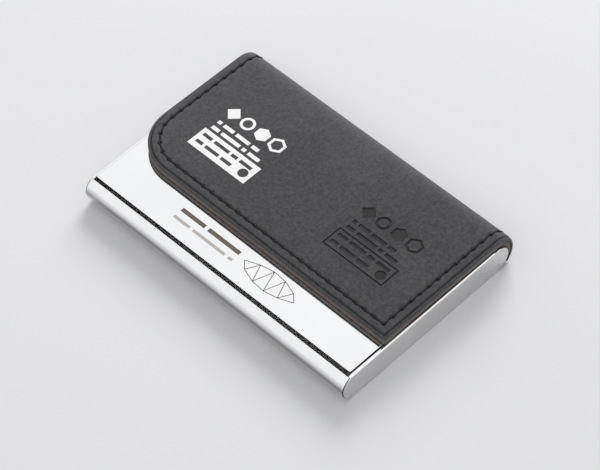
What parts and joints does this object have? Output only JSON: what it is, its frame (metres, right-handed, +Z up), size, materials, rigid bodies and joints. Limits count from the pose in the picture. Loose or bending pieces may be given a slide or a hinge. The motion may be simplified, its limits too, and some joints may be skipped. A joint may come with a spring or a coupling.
{
  "type": "business card case",
  "caption": "Slim polished steel case for business cards, with a hinged lid under a stitched black leather cover that wraps round the back.",
  "frame": {"origin": "middle of the steel tray's flat underside, where the case rests on a table", "axes": "+X along the case towards the square-cornered end of the cover, -Y towards the open front, +Y towards the leather spine, +Z up"},
  "size_m": [0.0954, 0.0657, 0.0123],
  "materials": {
    "polished_steel": "mirror polished",
    "satin_steel": "satin with a polished rim",
    "magnet": "nickel plated",
    "black_leather": "fine smooth grain, matte",
    "backing_board": "brown cut edge",
    "black_thread": "twisted thread"
  },
  "bodies": {
    "case": {"base_shell": "polished_steel", "end_cap_left": "satin_steel", "end_cap_right": "satin_steel", "magnet_left": "magnet", "magnet_right": "magnet", "spine_backing": "backing_board", "spine_leather": "black_leather", "spine_stitching": "black_thread", "hinge_backing": "backing_board", "hinge_leather": "black_leather", "hinge_stitching": "black_thread"},
    "lid": {"lid_plate": "polished_steel", "lid_backing": "backing_board", "lid_leather": "black_leather", "lid_stitching": "black_thread"}
  },
  "joints": [
    {"name": "lid_hinge", "type": "hinge", "parent": "case", "child": "lid", "pos_m": [0, 0.02545, 0.0103], "axis": [-1, 0, 0], "range_deg": [0, 110], "deforming": ["hinge_backing", "hinge_leather", "hinge_stitching"]}
  ]
}
